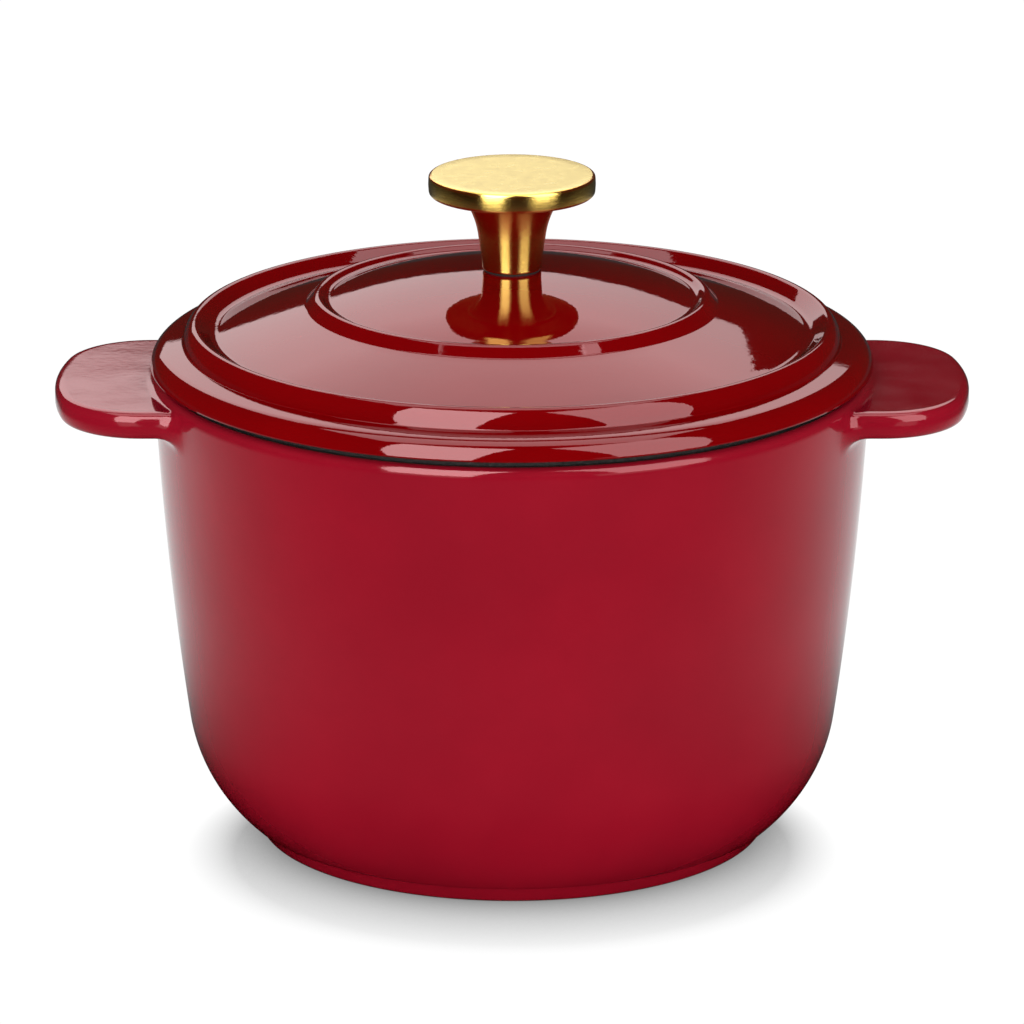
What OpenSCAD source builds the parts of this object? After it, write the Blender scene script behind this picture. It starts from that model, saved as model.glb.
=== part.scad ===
// Enamelled cast iron dutch oven: a deep round pot with two tab handles and
// a stepped lid that carries a bolted metal knob. The pot stands on z = 0,
// its axis is Z and its handles point along X. Every length is in millimetres.

/* [Pot] */
// Outer radius of the pot at the top of its wall
pot_r = 105.6; // [105:0.1:105.9]
// Height of the bare rim that the lid sits on
pot_h = 140; // [138:0.5:144]
// Rounding of the outer edge of the rim
shoulder_r = 1.7; // [1.2:0.1:2]
// Lean of the outer wall at the rim, in degrees from upright
wall_lean = 2.55; // [2.3:0.05:2.8]
// Radius of the long bow of the outer wall
wall_bow_r = 1112; // [1000:10:1300]
// Thickness of the iron wall with both coats
wall_t = 4.8; // [4:0.1:5.5]
// Radius of the outer corner between wall and base
corner_r = 48.5; // [46:0.5:50]
// Height of the centre of the outer corner
corner_z = 42; // [41:0.5:43]
// Radius of the inner corner between wall and floor
inner_corner_r = 34; // [30:0.5:36]
// Height of the cooking floor
floor_z = 8; // [7.5:0.1:9]

/* [Foot ring] */
// Outer radius of the foot ring where it stands
foot_r = 75.4; // [74:0.1:76]
// Height of the foot ring under the body
foot_h = 5.4; // [5:0.1:6]
// Width of the foot ring
foot_w = 7; // [5:0.5:9]
// Depth of the recess inside the foot ring
recess_h = 3; // [2:0.1:3.4]

/* [Handles] */
// Distance from the axis to the end of a handle
handle_reach = 134.6; // [130:0.1:138]
// Width of a handle
handle_w = 82.8; // [76:0.2:88]
// Thickness of a handle
handle_t = 8; // [6:0.1:9]
// Depth of the top face of a handle below the rim
handle_drop = 2.4; // [0.4:0.1:4]
// Radius of the curved end of a handle
handle_end_r = 100; // [80:1:110]
// Radius of the two outer corners of a handle
handle_corner_r = 25; // [20:0.5:27]
// Rounding of the handle's edges
handle_edge_r = 2.6; // [1.5:0.1:3]

/* [Enamel] */
// Thickness of the fired enamel coats
coat = 0.45; // [0.35:0.05:0.6]

/* [Lid] */
// Outer radius of the lid
lid_r = 106.4; // [106:0.1:107.5]
// Gap between the rim and the overhanging lip of the lid
lip_gap = 2.2; // [1.8:0.1:2.4]
// Height of the lip's face
lip_h = 5.2; // [5:0.1:5.4]
// Width of the flat band of the lid that rests on the rim
seat_w = 2.6; // [2:0.1:3]
// Height of the top of the centre panel above the rim
dome_rise = 30.2; // [30:0.1:30.5]
// Radius of the domed centre panel
dome_r = 170; // [168:1:172]
// Radius of the crest of the inner ring
ring_r = 56.8; // [56.5:0.1:57.1]
// Radius of the crest of the outer ridge
ridge_r = 93.3; // [93:0.1:93.6]
// Thickness of the lid
lid_t = 4.6; // [4.2:0.1:5]
// Clearance of the lid's locating flange inside the pot
flange_gap = 0.8; // [0.5:0.1:1.2]
// Depth of the locating flange below the rim
flange_h = 4.5; // [3:0.5:6]

/* [Knob] */
// Radius of the knob's disc
knob_r = 24.6; // [22:0.1:26]
// Height of the knob above the centre panel
knob_h = 28.4; // [28:0.1:29]
// Thickness of the knob's disc
disc_t = 5.9; // [5.5:0.1:6.5]
// Radius of the bottom of the knob's neck
neck_r = 8.7; // [8.5:0.1:9]

/* [Fixing] */
// Radius of the screw's shank
screw_r = 3; // [2.5:0.1:3]
// Radius of the screw's head
head_r = 5.5; // [5:0.1:6]
// Height of the screw's head
head_h = 3.4; // [3:0.1:4]

/* [Hidden] */
$fn = 96;

far = 300;
red = [0.55, 0.02, 0.05];
cream = [0.90, 0.86, 0.76];
iron = [0.10, 0.10, 0.10];
gold = [0.85, 0.65, 0.25];
steel = [0.70, 0.70, 0.72];
rubber = [0.05, 0.05, 0.05];

// Centre of the bow of the wall, and of the two corner arcs that it meets tangentially
bow = [pot_r - wall_bow_r * cos(wall_lean), pot_h + wall_bow_r * sin(wall_lean)];
function tangent_x(r, z) = bow[0] + sqrt(pow(r, 2) - pow(z - bow[1], 2));
corner = [tangent_x(wall_bow_r - corner_r, corner_z), corner_z];
inner_corner_z = floor_z + inner_corner_r;
inner_corner = [
    tangent_x(wall_bow_r - wall_t - inner_corner_r, inner_corner_z),
    inner_corner_z
];
pot_bore_r = tangent_x(wall_bow_r - wall_t, pot_h);
shoulder = [tangent_x(wall_bow_r, pot_h - shoulder_r) - shoulder_r, pot_h - shoulder_r];
land_out_r = shoulder[0] + 0.3;
handle_z = pot_h - handle_drop - handle_t;

// Lid levels
seat_z = pot_h;
lip_z = pot_h + lip_gap;
lip_top = lip_z + lip_h;
panel_z = pot_h + dome_rise;
dome_z = panel_z - dome_r;
function dome_height(r) = dome_z + sqrt(pow(dome_r, 2) - pow(r, 2));
ring_bead_r = 2.6;
ring_z = dome_height(ring_r) + 2 - ring_bead_r;
ridge_bead_r = 2.2;
ridge_z = lip_top + 7.3 - ridge_bead_r;
band_in = [ring_r, dome_height(ring_r) + 0.2];
band_out = [ridge_r - 4, lip_top + 3.1];
ridge_in_slope = 38;
ridge_out_slope = 62;
lip_edge = 1.2;
flange_r = pot_bore_r - flange_gap;
flange_w = 4.5;
under_in = [ring_r - 0.5, dome_height(ring_r) - lid_t];
low_z = seat_z - 20;

// Knob and fixing levels
gasket_r = neck_r - 0.5;
land_z = dome_height(gasket_r);
gasket_t = 0.45;
gasket_top = land_z + gasket_t;
knob_top = gasket_top + knob_h;
neck_bend_z = gasket_top + 9.9;
neck_bend_r = neck_r + 1.2;
neck_curve_r = 25;
neck_slope = 6.8;
pad_r = 9.5;
pad_z = panel_z - lid_t - 0.5;
hole_r = screw_r + 0.3;
thread_gap = 0.05;
thread_depth = 15;
washer_t = 1.2;
lock_t = 1.5;
lock_z = pad_z - washer_t - lock_t;
head_z = lock_z - head_h;

// ---- pot outlines, drawn right of the axis ----

// Everything inside a bowl whose side is an arc over a tangent corner arc
module bowl_outline(side_r, arc_r, arc_c, low, high) {
    dir = (arc_c - bow) / norm(arc_c - bow);
    meet_z = bow[1] + side_r * dir[1];
    intersection() {
        translate([0, low]) square([far, high - low]);
        union() {
            intersection() {
                translate(bow) circle(r = side_r, $fn = 720);
                translate([0, meet_z]) square([far, far]);
            }
            intersection() {
                translate(arc_c) circle(r = arc_r, $fn = 180);
                translate([arc_c[0] - 1, low]) square([far, meet_z - low]);
            }
            translate([0, low]) square([arc_c[0], meet_z - low]);
        }
    }
}

module outer_outline(inset) {
    bowl_outline(wall_bow_r - inset, corner_r - inset, corner, foot_h + inset, shoulder[1]);
    translate(shoulder) circle(r = shoulder_r - inset);
    translate([0, shoulder[1] - 1]) square([shoulder[0], shoulder_r - inset + 1]);
}

module cavity_outline(outset) {
    bowl_outline(wall_bow_r - wall_t + outset, inner_corner_r + outset, inner_corner,
        floor_z - outset, pot_h + 1);
}

// Foot ring, flaring up to the groove under the body
module foot_outline(inset) {
    edge = 0.8;
    in_r = foot_r - foot_w;
    polygon([
        [in_r, foot_h + 0.6],
        [in_r, 0],
        [foot_r - edge - inset, 0],
        [foot_r - inset, edge],
        [foot_r + 2.1 - inset, foot_h - 0.8],
        [foot_r + 2.1 - inset, foot_h + 0.6]
    ]);
}

// ---- handles ----

// A slab end: a disc with rounded edges
module handle_disc(inset) {
    r = handle_corner_r - inset;
    e = handle_edge_r - inset;
    t = handle_t - 2 * inset;
    rotate_extrude($fn = 36) intersection() {
        square([r, handle_t]);
        union() {
            translate([0, inset]) square([r - e, t]);
            translate([0, inset + e]) square([r, t - 2 * e]);
            translate([r - e, inset + e]) circle(r = e, $fn = 20);
            translate([r - e, handle_t - inset - e]) circle(r = e, $fn = 20);
        }
    }
}

// Both handles as one slab with curved ends; the body swallows its middle
module handles(inset) {
    arc_r = handle_end_r - handle_corner_r;
    arc_x = handle_reach - handle_end_r;
    spread = asin((handle_w / 2 - handle_corner_r) / arc_r);
    for (side = [0, 180]) rotate([0, 0, side]) translate([0, 0, handle_z])
        hull() {
            for (k = [-1 : 0.5 : 1])
                translate([arc_x + arc_r * cos(k * spread), arc_r * sin(k * spread), 0])
                    handle_disc(inset);
            for (k = [-1, 1])
                translate([pot_r - handle_corner_r - 12, k * arc_r * sin(spread), 0])
                    handle_disc(inset);
        }
}

// ---- pot ----

module pot_body(inset) {
    rotate_extrude() outer_outline(inset);
    rotate_extrude() foot_outline(inset);
    handles(inset);
}

module cavity(outset) {
    rotate_extrude() cavity_outline(outset);
}

// Bare flat land on top of the rim
module land_outline() {
    in_r = pot_bore_r - 2;
    translate([in_r, pot_h - 3]) square([land_out_r - in_r, 3]);
}

module pot_casting() {
    color(iron) difference() {
        union() {
            pot_body(coat);
            rotate_extrude() land_outline();
        }
        cavity(coat);
        cylinder(r = foot_r - foot_w, h = recess_h);
    }
}

module pot_outer_enamel() {
    color(red) difference() {
        pot_body(0);
        pot_body(coat);
        translate([0, 0, -1]) cylinder(r = foot_r + 5, h = 1.5);
        cylinder(r = foot_r - foot_w + 0.5, h = pot_h);
        translate([0, 0, pot_h - 1]) cylinder(r = land_out_r, h = 2);
    }
}

module pot_inner_enamel() {
    color(cream) rotate_extrude() difference() {
        intersection() {
            cavity_outline(coat);
            square([far, pot_h - 0.8]);
        }
        cavity_outline(0);
    }
}

// ---- lid outlines ----

// Everything under the top surface of the lid, inset by a depth
module lid_top_outline(depth) {
    edge_c = [lid_r - lip_edge, lip_top - lip_edge];
    intersection() {
        translate([0, dome_z]) circle(r = dome_r - depth, $fn = 720);
        translate([0, low_z]) square([ring_r, land_z - depth - low_z]);
    }
    translate([ring_r, ring_z]) circle(r = ring_bead_r - depth);
    polygon([
        [0, low_z],
        [edge_c[0], low_z],
        [edge_c[0], lip_top - depth],
        [ridge_r, lip_top + 1.1 - depth],
        band_out - [0, depth],
        band_in - [0, depth],
        [0, band_in[1] - depth]
    ]);
    ridge_outline(ridge_bead_r - depth);
    translate(edge_c) circle(r = lip_edge - depth);
    translate([edge_c[0], lip_z + lip_edge]) circle(r = lip_edge - depth);
    translate([0, lip_z + lip_edge]) square([lid_r - depth, lip_h - 2 * lip_edge]);
}

// Outer ridge: a round crest with a straight flank on each side
module ridge_outline(bead_r) {
    crest = [ridge_r, ridge_z];
    top_in = crest + bead_r * [-sin(ridge_in_slope), cos(ridge_in_slope)];
    top_out = crest + bead_r * [sin(ridge_out_slope), cos(ridge_out_slope)];
    translate(crest) circle(r = bead_r);
    polygon([
        top_in,
        top_in - 7 * [cos(ridge_in_slope), sin(ridge_in_slope)],
        [ridge_r, low_z],
        top_out + 7 * [cos(ridge_out_slope), -sin(ridge_out_slope)],
        top_out
    ]);
}

// Everything under the lid's lower surface; the enamelled part is raised by a depth
module lid_under_outline(depth) {
    root_z = seat_z - flange_h;
    flange_in = flange_r - flange_w + depth;
    intersection() {
        translate([0, dome_z]) circle(r = dome_r - lid_t + depth, $fn = 720);
        translate([0, low_z]) square([ring_r, pad_z - low_z]);
    }
    intersection() {
        translate([0, dome_z]) circle(r = dome_r - lid_t + depth, $fn = 720);
        translate([pad_r, low_z]) square([ring_r - pad_r, far]);
    }
    polygon([
        [0, low_z],
        [flange_in, low_z],
        [flange_in, root_z],
        [flange_in - 3, lip_top - 3 + depth],
        under_in + [0, depth],
        [0, under_in[1] + depth]
    ]);
    translate([0, low_z]) square([far, root_z + depth - low_z]);
    translate([flange_r, low_z]) square([far, seat_z - low_z]);
    translate([flange_r + seat_w, low_z]) square([far, lip_z - low_z]);
}

// ---- lid ----

module lid_outer_enamel() {
    color(red) rotate_extrude() difference() {
        intersection() {
            lid_top_outline(0);
            translate([hole_r + 0.5, lip_z + 0.6]) square([far, far]);
        }
        lid_top_outline(coat);
    }
}

module lid_casting() {
    color(iron) difference() {
        rotate_extrude() difference() {
            lid_top_outline(coat);
            lid_under_outline(coat);
        }
        translate([0, 0, seat_z]) cylinder(r = hole_r, h = far);
    }
}

module lid_inner_enamel() {
    color(cream) rotate_extrude() difference() {
        intersection() {
            lid_under_outline(coat);
            translate([pad_r, seat_z - flange_h]) square([flange_r - pad_r, far]);
        }
        lid_under_outline(0);
    }
}

// ---- knob ----

module knob_outline() {
    edge = 1.9;
    low_edge = 1.2;
    foot_edge = 0.8;
    disc_z = knob_top - disc_t;
    bend_c = [
        neck_bend_r + neck_curve_r * cos(neck_slope),
        neck_bend_z - neck_curve_r * sin(neck_slope)
    ];
    difference() {
        polygon([
            [0, gasket_top],
            [neck_r - foot_edge, gasket_top],
            [neck_r, gasket_top + foot_edge],
            [neck_bend_r, neck_bend_z],
            [knob_r - low_edge - 6, disc_z],
            [0, disc_z + 1]
        ]);
        intersection() {
            translate(bend_c) circle(r = neck_curve_r, $fn = 180);
            translate([0, neck_bend_z]) square([far, far]);
        }
    }
    translate([0, disc_z]) square([knob_r - low_edge, low_edge]);
    translate([knob_r - low_edge, disc_z + low_edge]) circle(r = low_edge);
    translate([0, disc_z + low_edge]) square([knob_r, disc_t - low_edge - edge]);
    translate([knob_r - edge, knob_top - edge]) circle(r = edge);
    translate([0, knob_top - edge - 0.1]) square([knob_r - edge, edge + 0.1]);
}

module knob() {
    color(gold) difference() {
        rotate_extrude() intersection() {
            knob_outline();
            square([far, far]);
        }
        translate([0, 0, gasket_top - 1]) cylinder(r = screw_r + thread_gap, h = thread_depth + 1);
    }
}

module knob_gasket() {
    color(rubber) translate([0, 0, land_z]) difference() {
        cylinder(r = gasket_r, h = gasket_t);
        translate([0, 0, -1]) cylinder(r = hole_r, h = gasket_t + 2);
    }
}

// ---- fixing ----

module knob_screw() {
    color(steel) difference() {
        union() {
            translate([0, 0, head_z]) cylinder(r = head_r, h = head_h);
            translate([0, 0, head_z + 1]) cylinder(r = screw_r, h = gasket_top + 12 - head_z - 1);
        }
        for (turn = [0, 90]) rotate([0, 0, turn])
            translate([-3, -0.5, head_z - 1]) cube([6, 1, 3]);
    }
}

module flat_washer() {
    color(steel) translate([0, 0, pad_z - washer_t]) difference() {
        cylinder(r = 7, h = washer_t);
        translate([0, 0, -1]) cylinder(r = screw_r + 0.2, h = washer_t + 2);
    }
}

module lock_washer() {
    color(steel) translate([0, 0, lock_z]) difference() {
        cylinder(r = head_r - 0.3, h = lock_t);
        translate([0, 0, -1]) cylinder(r = screw_r + 0.1, h = lock_t + 2);
        rotate([0, 0, 20]) translate([screw_r - 1, -0.4, -1]) cube([head_r, 0.8, lock_t + 2]);
    }
}

pot_casting();
pot_outer_enamel();
pot_inner_enamel();
lid_casting();
lid_outer_enamel();
lid_inner_enamel();
knob();
knob_gasket();
knob_screw();
flat_washer();
lock_washer();
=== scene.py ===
"""Enamelled cast iron dutch oven: meshes, materials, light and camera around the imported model.

Lengths in the shape functions are millimetres. A profile is a list of (radius, height) points.
"""

import math

import bpy
import numpy as np
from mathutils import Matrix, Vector


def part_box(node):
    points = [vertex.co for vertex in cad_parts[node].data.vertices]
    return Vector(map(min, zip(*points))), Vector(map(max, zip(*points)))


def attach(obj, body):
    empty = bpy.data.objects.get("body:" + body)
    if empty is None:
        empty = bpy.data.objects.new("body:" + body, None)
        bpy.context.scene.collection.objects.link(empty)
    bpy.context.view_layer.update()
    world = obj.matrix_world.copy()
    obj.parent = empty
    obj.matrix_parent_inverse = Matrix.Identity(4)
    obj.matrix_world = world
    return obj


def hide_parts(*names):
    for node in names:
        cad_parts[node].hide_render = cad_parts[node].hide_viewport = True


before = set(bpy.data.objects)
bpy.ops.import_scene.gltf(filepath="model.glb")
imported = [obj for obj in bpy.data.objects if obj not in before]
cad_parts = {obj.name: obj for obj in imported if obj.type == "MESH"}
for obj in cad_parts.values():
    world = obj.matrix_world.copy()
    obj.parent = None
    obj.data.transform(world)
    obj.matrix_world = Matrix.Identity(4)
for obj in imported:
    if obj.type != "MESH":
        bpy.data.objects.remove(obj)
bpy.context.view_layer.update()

MM = 0.001


def top_of(node):
    """Height of a node's top, in millimetres."""
    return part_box(node)[1].z / MM


def bottom_of(node):
    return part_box(node)[0].z / MM


def radius_of(node):
    """Half the width of a round node, in millimetres."""
    low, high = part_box(node)
    return (high.y - low.y) / 2 / MM


# ---- driving dimensions, in millimetres ----

COAT = 0.45
SKIN_GAP = 0.02

# Pot
RIM_Z = top_of("pot_casting")
POT_R = radius_of("pot_outer_enamel")
SHOULDER_R = 2.6
WALL_LEAN = math.radians(2.55)
WALL_BOW_R = 1112.0
WALL_T = 4.8
CORNER_R = 48.5
CORNER_Z = 42.0
INNER_CORNER_R = 34.0
FLOOR_Z = 8.0
FOOT_R = 75.4
FOOT_H = 5.4
FOOT_W = 7.0
RECESS_H = 3.0

# Handles
HANDLE_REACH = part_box("pot_outer_enamel")[1].x / MM
HANDLE_W = 82.8
HANDLE_T = 8.0
HANDLE_DROP = 2.4
HANDLE_END_R = 100.0
HANDLE_CORNER_R = 25.0
HANDLE_EDGE_R = 2.6
HANDLE_BLEND = 6.0
HANDLE_TOP_BLEND = 1.3
HANDLE_TOP = RIM_Z - HANDLE_DROP
HANDLE_BOTTOM = HANDLE_TOP - HANDLE_T

# Lid
LID_R = radius_of("lid_outer_enamel")
LIP_GAP = 2.2
LIP_H = 5.2
LIP_BOW_R = 6.0
LIP_Z = RIM_Z + LIP_GAP
LIP_TOP = LIP_Z + LIP_H
PANEL_Z = RIM_Z + 30.2
DOME_R = 170.0
DOME_Z = PANEL_Z - DOME_R
LID_T = 4.6
FLANGE_GAP = 0.8
FLANGE_H = 4.5
FLANGE_W = 4.5
SEAT_W = 2.6
HOLE_R = 3.8

# Knob and fixing
KNOB_R = radius_of("knob")
KNOB_TOP = top_of("knob")
KNOB_FOOT = bottom_of("knob")
DISC_T = 5.9
NECK_R = 8.7

LID_SEGMENTS = 320
POT_WALL_STEP = math.radians(1.6)


def dome_height(radius):
    return DOME_Z + math.sqrt(DOME_R**2 - radius**2)


BOW_RISE = WALL_BOW_R * math.sin(WALL_LEAN)
BOW = (POT_R - math.sqrt(WALL_BOW_R**2 - (BOW_RISE + SHOULDER_R) ** 2), RIM_Z + BOW_RISE)


def bow_radius(height, inset=0.0):
    """Radius of the bowed wall at a height, moved inwards by an inset."""
    return BOW[0] + math.sqrt((WALL_BOW_R - inset) ** 2 - (height - BOW[1]) ** 2)


# ---- flat drawing: profiles ----


def arc(centre, radius, start, end, steps):
    """Points on an arc, angles in degrees."""
    made = []
    for angle in np.radians(np.linspace(start, end, steps + 1)):
        made.append((centre[0] + radius * math.cos(angle), centre[1] + radius * math.sin(angle)))
    return made


def line(start, end, steps):
    """Points from start to end, both included."""
    return [tuple(p) for p in np.linspace(start, end, steps + 1)]


def fillet(before, corner, after, radius, step):
    """The points that round a corner off, about step degrees apart."""
    corner = np.array(corner, float)
    a = np.array(before[:2], float) - corner
    b = np.array(after[:2], float) - corner
    room = 0.49 * min(np.linalg.norm(a), np.linalg.norm(b))
    a /= np.linalg.norm(a)
    b /= np.linalg.norm(b)
    half = math.acos(max(-1.0, min(1.0, float(a @ b)))) / 2
    turn = math.pi - 2 * half
    if turn < 1e-3:
        return [tuple(corner)]
    cut = min(radius / math.tan(half), room)
    radius = cut * math.tan(half)
    middle = (a + b) / np.linalg.norm(a + b)
    centre = corner + middle * radius / math.sin(half)
    first = corner + a * cut - centre
    steps = max(2, int(math.ceil(math.degrees(turn) / step)))
    way = 1.0 if first[0] * (b - a)[1] - first[1] * (b - a)[0] > 0 else -1.0
    made = []
    for i in range(steps + 1):
        angle = way * turn * i / steps
        c, s = math.cos(angle), math.sin(angle)
        turned = (first[0] * c - first[1] * s, first[0] * s + first[1] * c)
        made.append((centre[0] + turned[0], centre[1] + turned[1]))
    return made


def rounded(path, step=7.0):
    """A path whose points may carry a third number, the radius that rounds them off."""
    made = []
    for i, point in enumerate(path):
        if len(point) > 2:
            made += fillet(path[i - 1], point[:2], path[i + 1], point[2], step)
        else:
            made.append(tuple(point))
    return made


def refined(path, longest):
    """The same path with no piece longer than a length."""
    made = []
    for first, second in zip(path, path[1:]):
        start, end = np.array(first), np.array(second)
        pieces = max(1, int(math.ceil(np.linalg.norm(end - start) / longest)))
        for k in range(pieces):
            made.append(tuple(start + (end - start) * k / pieces))
    made.append(tuple(path[-1]))
    return made


def moved_in(path, depth):
    """An open path moved to its right by a depth."""
    points = np.array(path, float)
    ahead = np.gradient(points, axis=0)
    ahead /= np.linalg.norm(ahead, axis=1)[:, None]
    right = np.column_stack([ahead[:, 1], -ahead[:, 0]])
    return [tuple(p) for p in points + right * depth]


def crown(centre, bead_r, slope_in, slope_out):
    """Where the two flank lines of a round crest would meet, with the crest's radius."""
    a, b = math.radians(slope_in), math.radians(slope_out)
    start = (centre[0] - bead_r * math.sin(a), centre[1] + bead_r * math.cos(a))
    end = (centre[0] + bead_r * math.sin(b), centre[1] + bead_r * math.cos(b))
    rise, fall = math.tan(a), -math.tan(b)
    r = (end[1] - start[1] + rise * start[0] - fall * end[0]) / (rise - fall)
    return (r, start[1] + rise * (r - start[0]), bead_r)


# ---- meshes ----


def make_object(name, points, faces, material):
    """A smooth-shaded object from points in millimetres."""
    mesh = bpy.data.meshes.new(name)
    mesh.from_pydata([tuple(p) for p in np.array(points) * MM], [], faces)
    mesh.validate()
    mesh.update()
    made = bpy.data.objects.new(name, mesh)
    bpy.context.scene.collection.objects.link(made)
    for polygon in mesh.polygons:
        polygon.use_smooth = True
    materials = material if isinstance(material, list) else [material]
    for entry in materials:
        mesh.materials.append(entry)
    return made


def quads(lower, upper):
    """Faces between two rows of point numbers."""
    made = []
    for i in range(len(lower) - 1):
        made.append((lower[i], lower[i + 1], upper[i + 1], upper[i]))
    return made


def circle_points(radius, height, turns):
    """Points at a radius and height, one for each angle round the axis."""
    return np.column_stack([radius * np.cos(turns), radius * np.sin(turns), np.full(len(turns), height)])


def grid_faces(cells):
    """Faces of a square grid whose points run along one side and then row by row."""
    faces = []
    for j in range(cells):
        for i in range(cells):
            a = j * (cells + 1) + i
            faces.append((a, a + 1, a + cells + 2, a + cells + 1))
    return faces


def revolve(name, loop, material, segments=LID_SEGMENTS):
    """Turns a closed loop of (radius, height) points, anticlockwise, about the axis."""
    turns = np.linspace(0, 2 * math.pi, segments, endpoint=False)
    points = np.concatenate([circle_points(r, z, turns) for r, z in loop])
    faces = []
    ring = list(range(segments)) + [0]
    for j in range(len(loop)):
        k = (j + 1) % len(loop)
        low = [j * segments + i for i in ring]
        high = [k * segments + i for i in ring]
        faces += quads(low, high)
    return make_object(name, points, faces, material)


def place(piece, body, slot, *nodes):
    """Rides a piece on its body, in place of its CAD nodes."""
    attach(piece, body)
    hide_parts(*nodes)
    return piece


# ---- the pot's skin: wall and handles as one smooth surface ----


def round_edge(a, b, radius):
    """Distance from the space inside two boundaries whose common edge is rounded."""
    a = a + radius
    b = b + radius
    outside = np.hypot(np.maximum(a, 0), np.maximum(b, 0))
    return np.minimum(np.maximum(a, b), 0) + outside - radius


def wall_distance(points):
    radius = np.hypot(points[:, 0], points[:, 1])
    side = np.hypot(radius - BOW[0], points[:, 2] - BOW[1]) - WALL_BOW_R
    return round_edge(side, points[:, 2] - RIM_Z, SHOULDER_R)


HANDLE_CORE_R = HANDLE_END_R - HANDLE_CORNER_R
HANDLE_CORE_X = HANDLE_REACH - HANDLE_END_R
HANDLE_CORE_Y = HANDLE_W / 2 - HANDLE_CORNER_R
HANDLE_CORE_RUN = math.sqrt(HANDLE_CORE_R**2 - HANDLE_CORE_Y**2)


def handle_distance(points):
    x = np.abs(points[:, 0]) - HANDLE_CORE_X
    y = np.abs(points[:, 1])
    at_end = y * HANDLE_CORE_RUN <= x * HANDLE_CORE_Y
    at_side = x <= HANDLE_CORE_RUN
    corner = np.hypot(x - HANDLE_CORE_RUN, y - HANDLE_CORE_Y)
    plan = np.where(at_side, y - HANDLE_CORE_Y, corner)
    plan = np.where(at_end, np.hypot(x, y) - HANDLE_CORE_R, plan)
    level = np.abs(points[:, 2] - (HANDLE_TOP + HANDLE_BOTTOM) / 2) - HANDLE_T / 2
    return round_edge(plan - HANDLE_CORNER_R, level, HANDLE_EDGE_R)


def skin_distance(points):
    """Distance from the wall and handles together, with a fillet where they meet."""
    low = np.clip((HANDLE_TOP - 0.5 - points[:, 2]) / 3.0, 0, 1)
    blend = HANDLE_TOP_BLEND + (HANDLE_BLEND - HANDLE_TOP_BLEND) * low * low * (3 - 2 * low)
    wall = wall_distance(points)
    handle = handle_distance(points)
    share = np.clip(0.5 + 0.5 * (handle - wall) / blend, 0, 1)
    return handle + (wall - handle) * share - blend * share * (1 - share)


def settle(points, depth):
    """Moves points onto the skin, or to a depth under it."""
    points = np.array(points, float)
    reach = 0.01
    for _ in range(14):
        value = skin_distance(points) + depth
        slope = np.empty_like(points)
        for axis in range(3):
            step = np.zeros(3)
            step[axis] = reach
            rise = skin_distance(points + step) - skin_distance(points - step)
            slope[:, axis] = rise / (2 * reach)
        size = np.maximum((slope**2).sum(1), 0.2)
        points -= slope * (np.clip(value, -2, 2) / size)[:, None]
    return points


# The band of the wall that a handle grows from, and its rows. The sides of the band bend outwards
# by EDGE_BEND, and the handle's free shape is reached BLEND_RUN away from the wall.
BAND_TOP = RIM_Z - 0.9
BAND_BOTTOM = RIM_Z - 15.5
BAND_HALF_W = HANDLE_W / 2 + 4.0
EDGE_OFFSETS = [0.0, 0.45, 1.0, 1.7, 2.5, 3.4]
EDGE_CELLS = len(EDGE_OFFSETS) - 1
EDGE_BEND = 7.4
BLEND_RUN = 5.0
SIDE_DEPTHS = [0.0, 0.45, 1.0, 1.7, 2.5, 4.0, 5.5, 6.3, 7.0, 7.55, 8.0]
SIDE_CELLS = len(SIDE_DEPTHS) - 1
ARM_CELLS = 20
END_CELLS = 36
PATCH_CELLS = 2 * EDGE_CELLS + END_CELLS
OUTLINE_CELLS = 2 * ARM_CELLS + END_CELLS
SHOULDER_C = (bow_radius(RIM_Z - SHOULDER_R) - SHOULDER_R, RIM_Z - SHOULDER_R)


def band_height(depth):
    """Height on the wall of the row that runs at a depth on a handle's side."""
    return BAND_TOP - (BAND_TOP - BAND_BOTTOM) * (depth / HANDLE_T) ** 1.35


def wall_point(height):
    """The wall's radius at a height, the rounded shoulder included."""
    if height > SHOULDER_C[1]:
        return (SHOULDER_C[0] + math.sqrt(SHOULDER_R**2 - (height - SHOULDER_C[1]) ** 2), height)
    return (bow_radius(height), height)


def exterior_rows():
    """The pot's outside from the bare land down to the foot, and the first band row's number."""
    land = math.degrees(math.acos(0.3 / SHOULDER_R))
    start = math.degrees(math.asin((BAND_TOP - SHOULDER_C[1]) / SHOULDER_R))
    rows = arc(SHOULDER_C, SHOULDER_R, land, start, 5)[:-1]
    first = len(rows)
    rows += [wall_point(band_height(depth)) for depth in SIDE_DEPTHS]
    corner_c = (bow_radius(CORNER_Z, CORNER_R), CORNER_Z)
    toward = (corner_c[0] - BOW[0], corner_c[1] - BOW[1])
    tangent = math.degrees(math.atan2(toward[1], toward[0]))
    meet = corner_c[1] + CORNER_R * math.sin(math.radians(tangent))
    rows += [wall_point(z) for z in np.linspace(BAND_BOTTOM, meet, 26)[1:-1]]
    end = -math.degrees(math.asin((CORNER_Z - FOOT_H) / CORNER_R))
    corner = arc(corner_c, CORNER_R, tangent, end, 20)
    flare = FOOT_R + 2.1
    foot = [
        corner[-2],
        corner[-1] + (0.5,),
        (flare, FOOT_H, 0.35),
        (flare, FOOT_H - 0.8, 0.9),
        (FOOT_R, 0.6, 0.4),
        (FOOT_R - 0.35, 0.15),
    ]
    return rows + corner[:-2] + rounded(foot, step=15.0), first


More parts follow.
